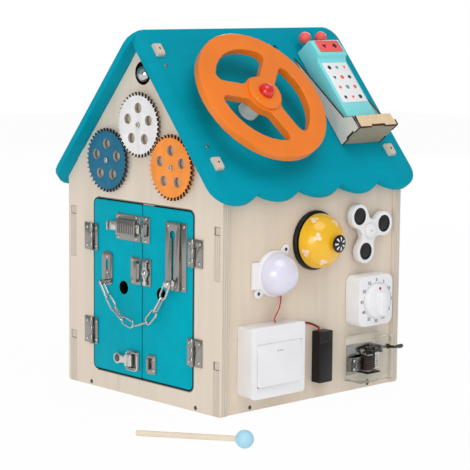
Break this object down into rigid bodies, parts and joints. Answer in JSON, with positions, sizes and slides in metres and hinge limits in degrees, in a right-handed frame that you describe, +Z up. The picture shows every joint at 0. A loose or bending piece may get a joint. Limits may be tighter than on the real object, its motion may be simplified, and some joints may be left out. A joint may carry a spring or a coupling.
{
  "type": "activity house",
  "caption": "Wooden activity house with opening doors, latches, meshed gears, steering wheel, toy telephone, bell, lamp, switch, spinner, timer and hand-cranked music movement.",
  "frame": {"origin": "middle of the house's underside, on the ground", "axes": "+Z up, -Y the side with the doors, +X the side with the lamp, bell and switch"},
  "size_m": [0.4366, 0.4629, 0.4538],
  "materials": {
    "birch_ply": "unfinished birch plywood, satin",
    "roof_paint": "teal paint over plywood, satin",
    "door_paint": "teal paint over plywood, satin",
    "steel": "zinc plated, satin",
    "drum_brown": "dark brown with a pale strip, satin",
    "jingle_silver": "polished",
    "orange_paint": "orange, semi gloss",
    "white_paint": "white, semi gloss",
    "blue_paint": "blue, semi gloss",
    "hub_wood": "bare wood, satin",
    "horn_red": "red, gloss",
    "tray_ply": "laser cut plywood, charred edges",
    "phone_plastic": "pale teal, semi gloss",
    "bell_base_black": "black, semi gloss",
    "bell_yellow": "yellow with a printed pattern, gloss",
    "plunger_black": "black with a white pattern, gloss",
    "lamp_white": "white",
    "lamp_dome": "translucent white, satin",
    "spinner_white": "white, gloss, black rings round its bearings",
    "spinner_cap": "white, gloss",
    "timer_white": "white, semi gloss",
    "switch_white": "white, gloss",
    "battery_black": "black, satin",
    "lead_red": "insulated wire, red and white",
    "lead_white": "insulated wires in sleeving",
    "clear_plastic": "clear acrylic",
    "mallet_paint": "pale blue ball on a bare stick"
  },
  "bodies": {
    "house": {"front_panel": "birch_ply", "back_panel": "birch_ply", "left_wall": "birch_ply", "right_wall": "birch_ply", "floor_panel": "birch_ply", "roof_left": "roof_paint", "roof_right": "roof_paint", "hinge_frame_left_lower": "steel", "hinge_frame_left_upper": "steel", "hinge_frame_right_lower": "steel", "hinge_frame_right_upper": "steel", "wheel_hub": "hub_wood", "phone_holder": "tray_ply", "light_base": "lamp_white", "light_dome": "lamp_dome", "bell_base": "bell_base_black", "bell_dome": "bell_yellow", "spinner_axle": "spinner_cap", "timer_body": "timer_white", "switch_box": "switch_white", "battery_box": "battery_black", "light_lead": "lead_white", "battery_lead": "lead_red", "music_case": "clear_plastic", "music_mechanism": "steel"},
    "left_door": {"door_left": "door_paint", "hinge_door_left_lower": "steel", "hinge_door_left_upper": "steel", "bolt_body": "steel", "chain_anchor": "steel", "chain_left": "steel", "latch_eye": "steel", "toggle_base": "steel"},
    "right_door": {"door_right": "door_paint", "hinge_door_right_lower": "steel", "hinge_door_right_upper": "steel", "bolt_keeper": "steel", "chain_track": "steel", "latch_base": "steel", "toggle_keeper": "steel"},
    "bolt": {"bolt_tongue": "steel"},
    "chain_slider": {"chain_knob": "steel", "chain_right": "steel"},
    "turn_latch": {"latch_hook": "steel"},
    "toggle_handle": {"toggle_lever": "steel"},
    "toggle_ring": {"toggle_loop": "steel"},
    "white_gear": {"gear_white": "white_paint"},
    "blue_gear": {"gear_blue": "blue_paint"},
    "orange_gear": {"gear_orange": "orange_paint"},
    "bell_ball": {"jingle_bell": "jingle_silver"},
    "wheel": {"steering_wheel": "orange_paint"},
    "horn": {"horn_button": "horn_red"},
    "plunger": {"bell_plunger": "plunger_black"},
    "spinner": {"spinner_body": "spinner_white"},
    "dial": {"timer_knob": "timer_white"},
    "rocker": {"switch_rocker": "switch_white"},
    "crank": {"music_crank": "steel"},
    "drum": {"music_drum": "drum_brown"},
    "telephone": {"phone": "phone_plastic"},
    "beater": {"mallet": "mallet_paint"}
  },
  "joints": [
    {"name": "left_door_hinge", "type": "hinge", "parent": "house", "child": "left_door", "pos_m": [-0.0952, -0.158, 0.132], "axis": [0, 0, -1], "range_deg": [0, 110]},
    {"name": "right_door_hinge", "type": "hinge", "parent": "house", "child": "right_door", "pos_m": [0.0952, -0.158, 0.132], "axis": [0, 0, 1], "range_deg": [0, 110]},
    {"name": "bolt_slide", "type": "slide", "parent": "left_door", "child": "bolt", "axis": [1, 0, 0], "range_m": [0, 0.0125]},
    {"name": "chain_slide", "type": "slide", "parent": "right_door", "child": "chain_slider", "axis": [0, 0, 1], "range_m": [0, 0.057]},
    {"name": "turn_latch_pivot", "type": "hinge", "parent": "right_door", "child": "turn_latch", "pos_m": [0.0095, -0.155, 0.158], "axis": [0, -1, 0], "range_deg": [0, 90]},
    {"name": "toggle_lever_pivot", "type": "hinge", "parent": "left_door", "child": "toggle_handle", "pos_m": [-0.016, -0.16, 0.045], "axis": [0, 0, 1], "range_deg": [0, 100]},
    {"name": "toggle_ring_pivot", "type": "hinge", "parent": "toggle_handle", "child": "toggle_ring", "pos_m": [-0.0225, -0.1618, 0.045], "axis": [0, 0, 1], "range_deg": [-100, 0]},
    {"name": "white_gear_spin", "type": "hinge", "parent": "house", "child": "white_gear", "pos_m": [0, -0.161, 0.339], "axis": [0, -1, 0], "continuous": true},
    {"name": "blue_gear_spin", "type": "hinge", "parent": "house", "child": "blue_gear", "pos_m": [-0.06, -0.161, 0.2916], "axis": [0, -1, 0], "continuous": true},
    {"name": "orange_gear_spin", "type": "hinge", "parent": "house", "child": "orange_gear", "pos_m": [0.06, -0.161, 0.2916], "axis": [0, -1, 0], "continuous": true},
    {"name": "jingle_bell_swing", "type": "hinge", "parent": "house", "child": "bell_ball", "pos_m": [0, -0.15, 0.4129], "axis": [1, 0, 0], "range_deg": [-23, 23]},
    {"name": "steering_wheel_spin", "type": "hinge", "parent": "house", "child": "wheel", "pos_m": [0.1068, -0.0584, 0.37518], "axis": [0.7727, 0, 0.6347], "continuous": true},
    {"name": "horn_press", "type": "slide", "parent": "wheel", "child": "horn", "axis": [-0.7727, 0, -0.6347], "range_m": [0, 0.0025], "stiffness_N_per_m": 300, "springref_m": -0.0006},
    {"name": "bell_press", "type": "slide", "parent": "house", "child": "plunger", "axis": [-1, 0, 0], "range_m": [0, 0.003], "stiffness_N_per_m": 200, "springref_m": -0.001},
    {"name": "spinner_spin", "type": "hinge", "parent": "house", "child": "spinner", "pos_m": [0.152, 0.0904, 0.2044], "axis": [1, 0, 0], "continuous": true},
    {"name": "timer_turn", "type": "hinge", "parent": "house", "child": "dial", "pos_m": [0.17, 0.0905, 0.117], "axis": [1, 0, 0], "range_deg": [0, 330]},
    {"name": "switch_rock", "type": "hinge", "parent": "house", "child": "rocker", "pos_m": [0.16525, -0.083, 0.0608], "axis": [0, 1, 0], "range_deg": [0, 7]},
    {"name": "music_crank_spin", "type": "hinge", "parent": "house", "child": "crank", "pos_m": [0.1565, 0.12, 0.053], "axis": [0, 1, 0], "continuous": true},
    {"name": "music_drum_spin", "type": "hinge", "parent": "house", "child": "drum", "pos_m": [0.1495, 0.093, 0.0345], "axis": [0, 0, 1], "continuous": true},
    {"name": "phone_lift", "type": "slide", "parent": "house", "child": "telephone", "axis": [-0.6347, 0, 0.7727], "range_m": [0, 0.06]},
    {"name": "mallet_lift", "type": "slide", "parent": "house", "child": "beater", "axis": [0, 0, 1], "range_m": [0, 0.15]}
  ],
  "couplings": [
    {"joint": "blue_gear_spin", "follows": "white_gear_spin", "ratio": -1},
    {"joint": "orange_gear_spin", "follows": "white_gear_spin", "ratio": -1},
    {"joint": "toggle_ring_pivot", "follows": "toggle_lever_pivot", "ratio": -1},
    {"joint": "music_drum_spin", "follows": "music_crank_spin", "ratio": 0.1}
  ]
}
